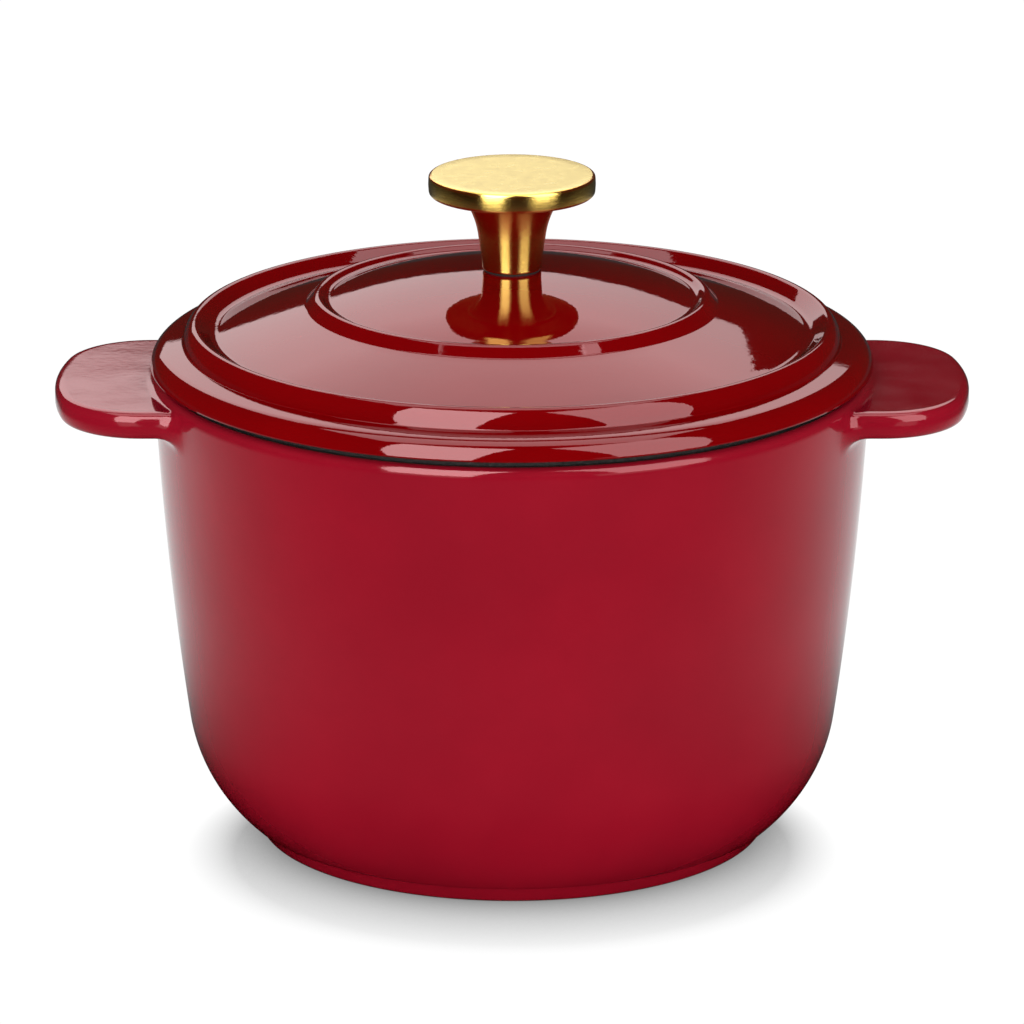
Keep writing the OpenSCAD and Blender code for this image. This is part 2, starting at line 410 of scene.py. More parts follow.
def handle_outline():
    """A handle's plan from the wall, round its end and back, as points and outward normals."""
    wall_x = math.sqrt(POT_R**2 - (HANDLE_W / 2) ** 2)
    corner = (HANDLE_CORE_X + HANDLE_CORE_RUN, HANDLE_CORE_Y)
    swing = math.degrees(math.atan2(HANDLE_CORE_Y, HANDLE_CORE_RUN))
    path = line((wall_x, -HANDLE_W / 2), (corner[0], -HANDLE_W / 2), 20)
    path += arc((corner[0], -corner[1]), HANDLE_CORNER_R, -90, -swing, 60)[1:]
    path += arc((HANDLE_CORE_X, 0), HANDLE_END_R, -swing, swing, 80)[1:]
    path += arc(corner, HANDLE_CORNER_R, swing, 90, 60)[1:]
    path += line((corner[0], HANDLE_W / 2), (wall_x, HANDLE_W / 2), 20)[1:]
    points = np.array(path)
    ahead = np.gradient(points, axis=0)
    ahead /= np.linalg.norm(ahead, axis=1)[:, None]
    return points, np.column_stack([ahead[:, 1], -ahead[:, 0]])


def outline_stations(length):
    """Distances along the outline of its columns, close together near the wall."""
    steps = 0.5 * 1.085 ** np.arange(ARM_CELLS)
    arm = np.concatenate([[0], np.cumsum(steps)])
    middle = np.linspace(arm[-1], length - arm[-1], END_CELLS + 1)
    return np.concatenate([arm[:-1], middle, (length - arm[:-1])[::-1]])


def patch_angles():
    """Angles round the pot of the columns that a handle covers."""
    reach = EDGE_BEND / EDGE_OFFSETS[-1]
    edge = [-(BAND_HALF_W - reach * offset) for offset in EDGE_OFFSETS]
    middle = np.linspace(edge[-1], -edge[-1], END_CELLS + 1)[1:-1]
    across = edge + list(middle) + [-y for y in reversed(edge)]
    return np.arcsin(np.array(across) / POT_R)


def column_angles():
    """Angles of every column round the pot, starting at one side of the first handle."""
    patch = patch_angles()
    gap = math.pi - 2 * patch[-1]
    cells = int(round(gap / POT_WALL_STEP))
    between = patch[-1] + gap * np.arange(1, cells) / cells
    half = np.concatenate([patch, between])
    return np.concatenate([half, half + math.pi])


def ring_faces(upper, lower):
    """Faces between two closed rings of point numbers, facing as the skin does."""
    count = len(upper)
    made = []
    for i in range(count):
        k = (i + 1) % count
        made.append((upper[i], lower[i], lower[k], upper[k]))
    return made


class Skin:
    """Collects the points and faces of the pot's outside at one depth."""

    def __init__(self, depth):
        self.depth = depth
        self.faces = []
        rows, self.first = exterior_rows()
        if depth > 0:
            rows = moved_in(rows, depth)
        self.turns = column_angles()
        self.columns = len(self.turns)
        self.rows = len(rows)
        self.points = np.concatenate([circle_points(r, z, self.turns) for r, z in rows])
        self.wall_faces()
        for turned in (False, True):
            self.add_handle(turned)
        upper = self.points[:, 2] > RIM_Z - 25
        self.points[upper] = settle(self.points[upper], depth)

    def at(self, row, column):
        return row * self.columns + column % self.columns

    def covered(self, row, column):
        inside = self.first <= row < self.first + SIDE_CELLS
        return inside and column % (self.columns // 2) < PATCH_CELLS

    def wall_faces(self):
        for row in range(self.rows - 1):
            for column in range(self.columns):
                if not self.covered(row, column):
                    a, b = self.at(row, column), self.at(row + 1, column)
                    c, d = self.at(row + 1, column + 1), self.at(row, column + 1)
                    self.faces.append((a, b, c, d))

    def add_points(self, points, turned):
        points = np.array(points, float)
        if turned:
            points = points * [-1, -1, 1]
        start = len(self.points)
        self.points = np.concatenate([self.points, points])
        return list(range(start, start + len(points)))

    def frame_points(self, ids, turned):
        return self.points[ids] * ([-1, -1, 1] if turned else [1, 1, 1])

    def strip_rows(self, base):
        """The numbers of the patch border's points that each end of the edge strip starts from."""
        last = PATCH_CELLS
        bottom = self.first + SIDE_CELLS
        near = [self.at(self.first, base + EDGE_CELLS - q) for q in range(EDGE_CELLS)]
        near += [self.at(self.first + k, base) for k in range(SIDE_CELLS)]
        near += [self.at(bottom, base + q) for q in range(EDGE_CELLS + 1)]
        far = [self.at(self.first, base + last - EDGE_CELLS + q) for q in range(EDGE_CELLS)]
        far += [self.at(self.first + k, base + last) for k in range(SIDE_CELLS)]
        far += [self.at(bottom, base + last - q) for q in range(EDGE_CELLS + 1)]
        return near, far

    def strip_columns(self, near, far, turned):
        """Columns of points that wrap the handle's edge, following its outline."""
        outline, normals = handle_outline()
        gaps = np.linalg.norm(np.diff(outline, axis=0), axis=1)
        along = np.concatenate([[0], np.cumsum(gaps)])
        stations = outline_stations(along[-1])
        offsets = list(reversed(EDGE_OFFSETS[1:])) + [0.0] * (SIDE_CELLS + 1) + EDGE_OFFSETS[1:]
        depths = [0.0] * EDGE_CELLS + SIDE_DEPTHS + [HANDLE_T] * EDGE_CELLS
        columns = [near]
        for station in stations[1:-1]:
            x = np.interp(station, along, outline[:, 0])
            y = np.interp(station, along, outline[:, 1])
            nx = np.interp(station, along, normals[:, 0])
            ny = np.interp(station, along, normals[:, 1])
            free = np.array([
                (x - nx * o, y - ny * o, HANDLE_TOP - d) for o, d in zip(offsets, depths)
            ])
            share = min(1.0, min(station, along[-1] - station) / BLEND_RUN)
            start = near if station < along[-1] / 2 else far
            fixed = self.frame_points(start, turned)
            columns.append(self.add_points(fixed + (free - fixed) * share, turned))
        columns.append(far)
        return columns, stations

    def face_patch(self, base, strip, stations, side, turned):
        """The flat top or bottom of a handle, between the wall and the edge strip."""
        row = self.first if side == 0 else self.first + SIDE_CELLS
        grid = [[self.at(row, base + EDGE_CELLS + n) for n in range(END_CELLS + 1)]]
        share = stations[: ARM_CELLS + 1] / stations[ARM_CELLS]
        ends = [strip[ARM_CELLS + n][side] for n in range(END_CELLS + 1)]
        low = self.frame_points(grid[0], turned)
        high = self.frame_points(ends, turned)
        across = np.linspace(0, 1, END_CELLS + 1)[:, None]
        level = HANDLE_TOP if side == 0 else HANDLE_BOTTOM
        for m in range(1, ARM_CELLS):
            v = share[m]
            left_id, right_id = strip[m][side], strip[OUTLINE_CELLS - m][side]
            left, right = self.frame_points([left_id, right_id], turned)
            flat = (1 - v) * low + v * high + (1 - across) * left + across * right
            flat = flat - (1 - v) * ((1 - across) * low[0] + across * low[-1])
            flat = flat - v * ((1 - across) * high[0] + across * high[-1])
            rise = min(1.0, stations[m] / BLEND_RUN)
            flat[:, 2] = low[:, 2] + (level - low[:, 2]) * rise
            grid.append([left_id] + self.add_points(flat[1:-1], turned) + [right_id])
        grid.append(ends)
        for m in range(ARM_CELLS):
            for n in range(END_CELLS):
                face = (grid[m][n], grid[m + 1][n], grid[m + 1][n + 1], grid[m][n + 1])
                self.faces.append(face if side == 0 else face[::-1])

    def close_to_axis(self, row, path, tip_z):
        """Carries the first or last row on along a path and closes it at the axis."""
        upward = row == 0
        ring = [self.at(row, c) for c in range(self.columns)]
        for r, z in path:
            new = self.add_points(circle_points(r, z, self.turns), False)
            self.faces += ring_faces(new, ring) if upward else ring_faces(ring, new)
            ring = new
        tip = self.add_points([(0.0, 0.0, tip_z)], False)[0]
        for i in range(self.columns):
            pair = (ring[i], ring[(i + 1) % self.columns])
            self.faces.append((tip,) + (pair if upward else pair[::-1]))

    def add_handle(self, turned):
        base = self.columns // 2 if turned else 0
        near, far = self.strip_rows(base)
        strip, stations = self.strip_columns(near, far, turned)
        for j in range(OUTLINE_CELLS):
            for q in range(len(near) - 1):
                a, b = strip[j][q], strip[j][q + 1]
                c, d = strip[j + 1][q + 1], strip[j + 1][q]
                self.faces.append((a, b, c, d))
        self.face_patch(base, strip, stations, 0, turned)
        self.face_patch(base, strip, stations, -1, turned)


def build_pot_enamel():
    """The red coat: the outside of the skin and its underside, closed at both edges."""
    outer = Skin(0.0)
    inner = Skin(COAT)
    shift = len(outer.points)
    faces = list(outer.faces)
    faces += [tuple(reversed([n + shift for n in f])) for f in inner.faces]
    top_out = [outer.at(0, c) for c in range(outer.columns)]
    top_in = [inner.at(0, c) + shift for c in range(inner.columns)]
    low_out = [outer.at(outer.rows - 1, c) for c in range(outer.columns)]
    low_in = [inner.at(inner.rows - 1, c) + shift for c in range(inner.columns)]
    faces += ring_faces(top_in, top_out)
    faces += ring_faces(low_out, low_in)
    points = np.concatenate([outer.points, inner.points])
    return points, faces


def cavity_rows(outset):
    """The inside of the pot from its top edge down to the middle of the floor."""
    side = WALL_T - outset
    arc_r = INNER_CORNER_R + outset
    centre = (bow_radius(FLOOR_Z + INNER_CORNER_R, WALL_T + INNER_CORNER_R), FLOOR_Z + INNER_CORNER_R)
    toward = (centre[0] - BOW[0], centre[1] - BOW[1])
    tangent = math.degrees(math.atan2(toward[1], toward[0]))
    meet = centre[1] + arc_r * math.sin(math.radians(tangent))
    rows = [(bow_radius(z, side), z) for z in np.linspace(RIM_Z - 0.8, meet, 30)]
    rows += arc(centre, arc_r, tangent, -90, 24)[1:]
    floor = FLOOR_Z - outset
    rows += line((centre[0], floor), (0.0, floor), 10)[1:]
    return rows


def build_pot_iron():
    """The casting: under the red coat, round the foot and base, and the bare rim."""
    skin = Skin(COAT + SKIN_GAP)
    land_r = SHOULDER_C[0] + 0.28
    inside = cavity_rows(COAT + SKIN_GAP)
    land = [
        (land_r, RIM_Z - 0.3),
        (land_r, RIM_Z, 0.12),
        (inside[0][0] + 0.15, RIM_Z, 0.7),
        inside[0],
    ]
    up = rounded(land, step=18.0)[:-1] + inside[:-1]
    foot_in = FOOT_R - FOOT_W
    down = [
        (FOOT_R - 0.68, 0.3),
        (FOOT_R - 0.7, 0.0, 0.35),
        (foot_in, 0.0, 0.8),
        (foot_in - 0.8, RECESS_H, 1.2),
        (foot_in - 10, RECESS_H),
    ]
    down = rounded(down, step=15.0) + line((foot_in - 10, RECESS_H), (8.0, RECESS_H), 6)[1:]
    skin.close_to_axis(0, up, inside[-1][1])
    skin.close_to_axis(skin.rows - 1, down, RECESS_H)
    return skin.points, skin.faces


def build_pot_cream():
    """The cream coat inside the pot, as one closed section from axis to axis."""
    inner = cavity_rows(0.0)
    outer = cavity_rows(COAT)
    return list(reversed(outer)) + inner


# ---- lid shapes ----

# Inner ring: crest radius and height, bead and the slopes of its flanks in degrees
RING_R = 56.8
RING_H = 2.0
RING_BEAD_R = 3.2
RING_C = (RING_R, dome_height(RING_R) + RING_H - RING_BEAD_R)
RING_IN = 40
RING_OUT = 48

# Outer ridge: the same, with a full outer face that ends at a steep angle
RIDGE_R = 93.3
RIDGE_H = 7.3
RIDGE_BEAD_R = 1.8
RIDGE_C = (RIDGE_R, LIP_TOP + RIDGE_H - RIDGE_BEAD_R)
RIDGE_IN = 38
RIDGE_FACE_R = 8.0
RIDGE_FACE_END = 8

# Broad band between ring and ridge, and the brim outside the ridge
BAND_R = 369.0
BAND_START = (59.4, PANEL_Z - 10.2)
BAND_SLOPE = math.radians(15.5)
BRIM = (99.3, LIP_TOP + 1.0)
BRIM_SLOPE = math.radians(11.0)
BAND_C = (
    BAND_START[0] - BAND_R * math.sin(BAND_SLOPE),
    BAND_START[1] - BAND_R * math.cos(BAND_SLOPE),
)

# Underside: the flat pad round the screw, and the flange's outer radius
PAD_Z = PANEL_Z - LID_T - 0.5
FLANGE_R = bow_radius(RIM_Z, WALL_T) - FLANGE_GAP


def slope_height(radius):
    """Height of the lid's broad sloping band."""
    return BAND_C[1] + math.sqrt(BAND_R**2 - (radius - BAND_C[0]) ** 2)


def brim_height(radius):
    return BRIM[1] - (radius - BRIM[0]) * math.tan(BRIM_SLOPE)


def flank(crest, radius, slope):
    """Height of the straight flank that comes down from a crest at a slope in degrees."""
    return crest[1] - abs(radius - crest[0]) * math.tan(math.radians(slope))


def crossing(first, second, low, high):
    """The radius between low and high where two heights are equal."""
    for _ in range(50):
        middle = (low + high) / 2
        if (first(low) - second(low)) * (first(middle) - second(middle)) <= 0:
            high = middle
        else:
            low = middle
    return (low + high) / 2


def ridge_outline():
    """The outer ridge from its inner flank over the crest and down its full outer face."""
    crest = arc(RIDGE_C, RIDGE_BEAD_R, 90 + RIDGE_IN, 45, 8)
    inward = (RIDGE_FACE_R - RIDGE_BEAD_R) * math.sqrt(0.5)
    centre = (RIDGE_C[0] - inward, RIDGE_C[1] - inward)
    return crest[:-1] + arc(centre, RIDGE_FACE_R, 45, RIDGE_FACE_END, 10)


def lid_top_path():
    """The lid's upper surface from the screw hole out and down the lip's face."""
    ring = crown(RING_C, RING_BEAD_R, RING_IN, RING_OUT)
    ridge = ridge_outline()
    r1 = crossing(dome_height, lambda r: flank(ring, r, RING_IN), 50, RING_C[0])
    r2 = crossing(slope_height, lambda r: flank(ring, r, RING_OUT), RING_C[0] + 1, 68)
    r3 = crossing(slope_height, lambda r: flank(ridge[0], r, RIDGE_IN), 84, ridge[0][0])
    r4 = ridge[-1][0] + 0.1
    path = [(r, dome_height(r)) for r in np.linspace(HOLE_R, r1 - 3, 24)]
    path += [(r1, dome_height(r1), 2.2), ring, (r2, slope_height(r2), 1.4)]
    path += [(r, slope_height(r)) for r in np.linspace(r2 + 3, r3 - 4, 14)]
    path += [(r3, slope_height(r3), 3.2)] + ridge + [(r4, brim_height(r4), 1.0)]
    face = arc((LID_R - LIP_BOW_R, LIP_Z - 0.2), LIP_BOW_R, 78, 2, 18)
    return rounded(path + face, step=6.0)


def lid_under_path():
    """The lid's lower surface from the screw hole out to the flange's outer edge."""
    pad_r = 9.5
    under_r = DOME_R - LID_T

    def under(r):
        return DOME_Z + math.sqrt(under_r**2 - r**2)

    turn = RING_C[0] - 0.5
    path = [(pad_r, PAD_Z), (pad_r, under(pad_r), 0.4)]
    path += [(r, under(r)) for r in np.linspace(pad_r + 2.0, turn - 3, 14)]
    path += [
        (turn, under(turn), 10.0),
        (FLANGE_R - FLANGE_W - 3, LIP_TOP - 3, 4.0),
        (FLANGE_R - FLANGE_W, RIM_Z - FLANGE_H, 1.4),
        (FLANGE_R, RIM_Z - FLANGE_H, 1.0),
        (FLANGE_R, RIM_Z - 0.4),
    ]
    return refined(rounded(path, step=12.0), 4.0)


def build_lid_red():
    top = lid_top_path()
    return list(reversed(top)) + moved_in(top, COAT)


def build_lid_cream():
    under = lid_under_path()
    return under + list(reversed(moved_in(under, -COAT)))


def build_lid_iron():
    top = moved_in(lid_top_path(), COAT + SKIN_GAP)
    under = moved_in(lid_under_path(), -(COAT + SKIN_GAP))
    start = rounded([(HOLE_R - 0.5, PAD_Z + 2), (HOLE_R - 0.5, PAD_Z), (9.0, PAD_Z)])
    seat = [
        (FLANGE_R, RIM_Z - 0.3),
        (FLANGE_R, RIM_Z, 0.2),
        (FLANGE_R + SEAT_W, RIM_Z, 0.4),
        (FLANGE_R + SEAT_W + 0.8, LIP_Z, 0.6),
        (LID_R - 0.35, LIP_Z, 0.5),
        (LID_R - 0.27, LIP_Z + 0.5),
    ]
    lip = top[-1]
    edge = rounded(seat, step=20.0) + [(lip[0], LIP_Z + 0.55)]
    top = [p for p in top if p[1] > LIP_Z + 0.7]
    hole = [(HOLE_R - 0.5, dome_height(HOLE_R) - COAT - SKIN_GAP)]
    return start[:-1] + under + edge + list(reversed(top)) + hole


# ---- knob ----


def build_knob():
    """The knob's section from the bottom of its blind hole round to the middle of its top."""
    bore = 3.05
    bore_top = KNOB_FOOT + 15.0
    disc_z = KNOB_TOP - DISC_T
    bend = (NECK_R + 1.2, KNOB_FOOT + 9.9)
    curve_r = 25.0
    slope = math.radians(6.8)
    centre = (bend[0] + curve_r * math.cos(slope), bend[1] - curve_r * math.sin(slope))
    start = math.degrees(math.pi - slope)
    meet = math.degrees(math.asin((disc_z - centre[1]) / curve_r))
    flare = arc(centre, curve_r, start, 180 - meet + 6, 14)
    root = flare[-1]
    joint = (root[0] + 1.6, disc_z + 0.1)
    path = [
        (0.0, bore_top),
        (bore, bore_top),
        (bore, KNOB_FOOT + 0.4),
        (bore + 0.4, KNOB_FOOT),
        (NECK_R, KNOB_FOOT, 0.8),
        (NECK_R + 0.12, KNOB_FOOT + 2.0),
    ]
    path += flare
    path += [
        joint + (2.4,),
        (KNOB_R - 4.0, disc_z),
        (KNOB_R - 0.3, disc_z, 1.1),
        (KNOB_R, disc_z + DISC_T / 2, 16.0),
        (KNOB_R - 0.2, KNOB_TOP, 0.9),
        (KNOB_R - 4.5, KNOB_TOP - 0.02),
        (8.0, KNOB_TOP - 0.03),
        (0.0, KNOB_TOP - 0.03),
    ]
    return rounded(path, step=9.0)


def revolve_from_axis(name, section, material, segments=LID_SEGMENTS):
    """Turns an open section whose first and last points are on the axis."""
    turns = np.linspace(0, 2 * math.pi, segments, endpoint=False)
    points = [np.array([[0.0, 0.0, section[0][1]]])]
    points += [circle_points(r, z, turns) for r, z in section[1:-1]]
    points.append(np.array([[0.0, 0.0, section[-1][1]]]))
    rows = len(section) - 2
    ring = list(range(segments)) + [0]
    faces = [(0, 1 + ring[i + 1], 1 + ring[i]) for i in range(segments)]
    for j in range(rows - 1):
        low = [1 + j * segments + i for i in ring]
        high = [1 + (j + 1) * segments + i for i in ring]
        faces += quads(low, high)
    last = 1 + rows * segments
    tail = 1 + (rows - 1) * segments
    faces += [(last, tail + ring[i], tail + ring[i + 1]) for i in range(segments)]
    return make_object(name, np.concatenate(points), faces, material)


# ---- materials ----


def in_range(nodes, links, value, start, end, low, high, kind="LINEAR"):
    """A number that runs from low to high as the value runs from start to end."""
    node = nodes.new("ShaderNodeMapRange")
    node.interpolation_type = kind
    node.inputs["From Min"].default_value = start
    node.inputs["From Max"].default_value = end
    node.inputs["To Min"].default_value = low
    node.inputs["To Max"].default_value = high
    links.new(value, node.inputs["Value"])
    return node.outputs["Result"]


def mixed(nodes, links, factor, first, second):
    """The first shader where the factor is zero and the second where it is one."""
    node = nodes.new("ShaderNodeMixShader")
    links.new(factor, node.inputs[0])
    links.new(first, node.inputs[1])
    links.new(second, node.inputs[2])
    return node.outputs[0]


def plain_sky(nodes, colour=(1, 1, 1, 1)):
    node = nodes.new("ShaderNodeBackground")
    node.inputs["Color"].default_value = colour
    return node


class Paint:
    """A small helper that builds one procedural material."""

    def __init__(self, name):
        self.material = bpy.data.materials.new(name)
        self.material.use_nodes = True
        self.nodes = self.material.node_tree.nodes
        self.links = self.material.node_tree.links
        self.shader = self.nodes["Principled BSDF"]
        self.place = self.nodes.new("ShaderNodeTexCoord").outputs["Object"]

    def set(self, **values):
        """Sets the shader's own sockets; underscores stand for spaces."""
        for key, value in values.items():
            self.shader.inputs[key.replace("_", " ")].default_value = value

    def noise(self, scale, detail=2.0, roughness=0.5, place=None):
        node = self.nodes.new("ShaderNodeTexNoise")
        node.inputs["Scale"].default_value = scale
        node.inputs["Detail"].default_value = detail
        node.inputs["Roughness"].default_value = roughness
        self.links.new(place or self.place, node.inputs["Vector"])
        return node.outputs["Fac"]

    def math(self, operation, first, second=0.0):
        node = self.nodes.new("ShaderNodeMath")
        node.operation = operation
        for socket, value in zip(node.inputs, (first, second)):
            if isinstance(value, (int, float)):
                socket.default_value = value
            else:
                self.links.new(value, socket)
        return node.outputs[0]

    def length(self, a, b):
        squares = self.math("ADD", self.math("MULTIPLY", a, a), self.math("MULTIPLY", b, b))
        return self.math("SQRT", squares)

    def ramp(self, factor, stops):
        node = self.nodes.new("ShaderNodeValToRGB")
        while len(node.color_ramp.elements) < len(stops):
            node.color_ramp.elements.new(0.5)
        for element, (position, colour) in zip(node.color_ramp.elements, stops):
            element.position = position
            element.color = tuple(colour) + (1.0,)
        self.links.new(factor, node.inputs["Fac"])
        return node.outputs["Color"]

    def span(self, factor, low, high):
        """A number that runs from low to high as the factor runs from 0.3 to 0.7."""
        return in_range(self.nodes, self.links, factor, 0.3, 0.7, low, high)

    def bump(self, height, distance, strength, under=None):
        node = self.nodes.new("ShaderNodeBump")
        node.inputs["Strength"].default_value = strength
        node.inputs["Distance"].default_value = distance
        self.links.new(height, node.inputs["Height"])
        if under is not None:
            self.links.new(under, node.inputs["Normal"])
        return node.outputs["Normal"]

    def stretched(self, scale):
        """Places measured as distance from the axis, angle round it and height, scaled."""
        split = self.nodes.new("ShaderNodeSeparateXYZ")
        self.links.new(self.place, split.inputs[0])
        x, y, z = split.outputs
        radius = self.length(x, y)
        angle = self.math("ARCTAN2", y, x)
        join = self.nodes.new("ShaderNodeCombineXYZ")
        self.links.new(self.math("MULTIPLY", radius, scale[0]), join.inputs[0])
        self.links.new(self.math("MULTIPLY", angle, scale[1]), join.inputs[1])
        self.links.new(self.math("MULTIPLY", z, scale[2]), join.inputs[2])
        return join.outputs[0]

    def link(self, output, socket):
        self.links.new(output, self.shader.inputs[socket])


# The pot and the lid share one red enamel. The pot's copy is painted lighter, with a painted bluish sheen
# in its green and blue, and the lid's copy is painted darker as painted shade.
POT_RED_LIT_SHEEN = (0.25, 0.004, 0.014)
LID_RED_SHADED = (0.165, 0.0, 0.001)
GLOSS_TINT = (1.0, 0.62, 0.64, 1.0)


def red_enamel(name, colour, smooth, rough):
    """Red glass coat, a little uneven in tone and gently rippled."""
    paint = Paint(name)
    paint.set(IOR=1.5, Specular_IOR_Level=0.5, Specular_Tint=GLOSS_TINT)
    tone = paint.noise(22.0, 3.0)
    deep = tuple(0.93 * part for part in colour)
    bright = tuple(1.07 * part for part in colour)
    paint.link(paint.ramp(tone, [(0.3, deep), (0.7, bright)]), "Base Color")
    paint.link(paint.span(paint.noise(90.0, 2.0), smooth, rough), "Roughness")
    wave = paint.bump(paint.noise(55.0, 1.0), 0.0006, 0.10)
    peel = paint.bump(paint.noise(420.0, 2.0), 0.0002, 0.06, wave)
    paint.link(peel, "Normal")
    return paint.material


def cream_enamel():
    paint = Paint("cream_enamel")
    tone = paint.noise(40.0, 3.0)
    colours = [(0.3, (0.70, 0.64, 0.50)), (0.7, (0.78, 0.73, 0.60))]
    paint.link(paint.ramp(tone, colours), "Base Color")
    paint.link(paint.span(paint.noise(120.0, 2.0), 0.10, 0.18), "Roughness")
    paint.link(paint.bump(paint.noise(300.0, 2.0), 0.0003, 0.15), "Normal")
    return paint.material


def bare_iron():
    paint = Paint("bare_iron")
    grain = paint.noise(900.0, 6.0, 0.65)
    colours = [(0.3, (0.012, 0.011, 0.010)), (0.6, (0.03, 0.027, 0.025)), (0.75, (0.09, 0.08, 0.075))]
    paint.link(paint.ramp(grain, colours), "Base Color")
    paint.link(paint.span(grain, 0.45, 0.75), "Roughness")
    paint.link(paint.bump(grain, 0.0008, 0.6), "Normal")
    return paint.material


def ground_edge():
    paint = Paint("ground_edge")
    paint.set(Metallic=0.35)
    grain = paint.noise(1200.0, 4.0, 0.6)
    colours = [(0.3, (0.20, 0.19, 0.18)), (0.7, (0.55, 0.53, 0.50))]
    paint.link(paint.ramp(grain, colours), "Base Color")
    paint.link(paint.span(grain, 0.35, 0.6), "Roughness")
    paint.link(paint.bump(grain, 0.0003, 0.4), "Normal")
    return paint.material


def gold_top_painted_light():
    """The finer, even finish of the knob's top face, its gold painted paler and yellower than the knob's
    other gold as a painted highlight.
    """
    paint = Paint("gold_top_painted_light")
    paint.set(Metallic=1.0)
    tone = paint.noise(420.0, 3.0)
    # Paler and yellower than the gold of the knob's sides: painted highlight on the same metal.
    colours = [(0.3, (0.74, 0.755, 0.28)), (0.7, (0.76, 0.775, 0.29))]
    paint.link(paint.ramp(tone, colours), "Base Color")
    paint.link(paint.span(tone, 0.24, 0.28), "Roughness")
    paint.link(paint.bump(paint.noise(1500.0, 2.0), 0.00002, 0.1), "Normal")
    return paint.material


def gold_steel():
    """Gold-tone metal with fine turning lines that run round the knob."""
    paint = Paint("gold_steel")
    paint.set(Metallic=1.0, Anisotropic=0.95, Anisotropic_Rotation=0.25)
    lines = paint.noise(1.0, 3.0, 0.6, paint.stretched((5200.0, 3.0, 5200.0)))
    broad = paint.noise(1.0, 2.0, 0.5, paint.stretched((500.0, 2.0, 500.0)))
    tone = paint.math("ADD", paint.math("MULTIPLY", lines, 0.6), paint.math("MULTIPLY", broad, 0.4))
    colours = [(0.3, (0.66, 0.44, 0.10)), (0.7, (0.80, 0.56, 0.14))]
    paint.link(paint.ramp(tone, colours), "Base Color")
    paint.link(paint.span(tone, 0.15, 0.18), "Roughness")
    paint.link(paint.bump(lines, 0.00006, 0.5), "Normal")
    tangent = paint.nodes.new("ShaderNodeTangent")
    tangent.direction_type = "RADIAL"
    tangent.axis = "Z"
    paint.link(tangent.outputs["Tangent"], "Tangent")
    return paint.material


def plain_steel():
    paint = Paint("plain_steel")
    paint.set(Metallic=1.0)
    lines = paint.noise(1.0, 3.0, 0.6, paint.stretched((3000.0, 4.0, 3000.0)))
    paint.link(paint.ramp(lines, [(0.3, (0.42, 0.42, 0.43)), (0.7, (0.62, 0.62, 0.63))]), "Base Color")
    paint.link(paint.span(lines, 0.22, 0.38), "Roughness")
    paint.link(paint.bump(lines, 0.00006, 0.4), "Normal")
    return paint.material


def black_silicone():
    paint = Paint("black_silicone")
    paint.set(Specular_IOR_Level=0.1)
    grain = paint.noise(1500.0, 3.0)
    paint.link(paint.ramp(grain, [(0.3, (0.012, 0.012, 0.012)), (0.7, (0.03, 0.03, 0.03))]), "Base Color")
    paint.link(paint.span(grain, 0.5, 0.7), "Roughness")
    paint.link(paint.bump(grain, 0.0002, 0.3), "Normal")
    return paint.material


# Floor: its glow in reflections in front and behind, and the painted soft shadow the camera sees
FLOOR_FRONT = 0.12
FLOOR_BACK = 0.95
SHADOW_REACH = 0.05
SHADOW_DEEP = 0.12
SHADOW_AHEAD = 0.030
SHADOW_FADE = (0.082, 0.097)
FLOOR_SEEN = 1.02


def between(paint, value, start, end):
    """One where a value is inside a span, with soft ends."""
    rise = in_range(paint.nodes, paint.links, value, start - 0.02, start + 0.02, 0.0, 1.0)
    fall = in_range(paint.nodes, paint.links, value, end - 0.02, end + 0.02, 1.0, 0.0)
    return paint.math("MULTIPLY", rise, fall)


def floor_glow(paint, x, y):
    """Strength of the floor's glow in reflections: brighter behind the pot, with two painted window
    patches.
    """
    nodes, links = paint.nodes, paint.links
    out = paint.length(x, y)
    glow = in_range(nodes, links, y, -0.30, 0.32, FLOOR_FRONT, FLOOR_BACK, "SMOOTHSTEP")
    near = in_range(nodes, links, out, 0.09, 0.25, 0.0, 1.0, "SMOOTHSTEP")
    far = in_range(nodes, links, out, 0.40, 0.62, 1.0, 0.05, "SMOOTHSTEP")
    glow = paint.math("MULTIPLY", glow, paint.math("MULTIPLY", near, far))
    turn = paint.math("ARCTAN2", x, paint.math("MULTIPLY", y, -1.0))
    beyond = in_range(nodes, links, out, 0.60, 0.66, 0.0, 1.0, "SMOOTHSTEP")
    for start, end, strength in ((-0.66, -0.23, 1.3), (0.44, 0.90, 0.9)):
        patch = paint.math("MULTIPLY", between(paint, turn, start, end), strength)
        glow = paint.math("ADD", glow, paint.math("MULTIPLY", patch, beyond))
    return glow


def floor_seen(paint, x, y):
    """Strength of the floor's glow to the camera: a painted contact shadow that fades out round the pot.
    """
    nodes, links = paint.nodes, paint.links
    hidden = nodes.new("ShaderNodeAmbientOcclusion")
    hidden.inputs["Distance"].default_value = SHADOW_REACH
    hidden.samples = 16
    shade = in_range(nodes, links, hidden.outputs["AO"], 0.0, 0.88, SHADOW_DEEP, FLOOR_SEEN)
    away = paint.length(x, paint.math("ADD", y, SHADOW_AHEAD))
    clear = in_range(nodes, links, away, SHADOW_FADE[0], SHADOW_FADE[1], 0.0, 1.0)
    lift = paint.math("MULTIPLY", paint.math("SUBTRACT", FLOOR_SEEN, shade), clear)
    return paint.math("ADD", shade, lift)


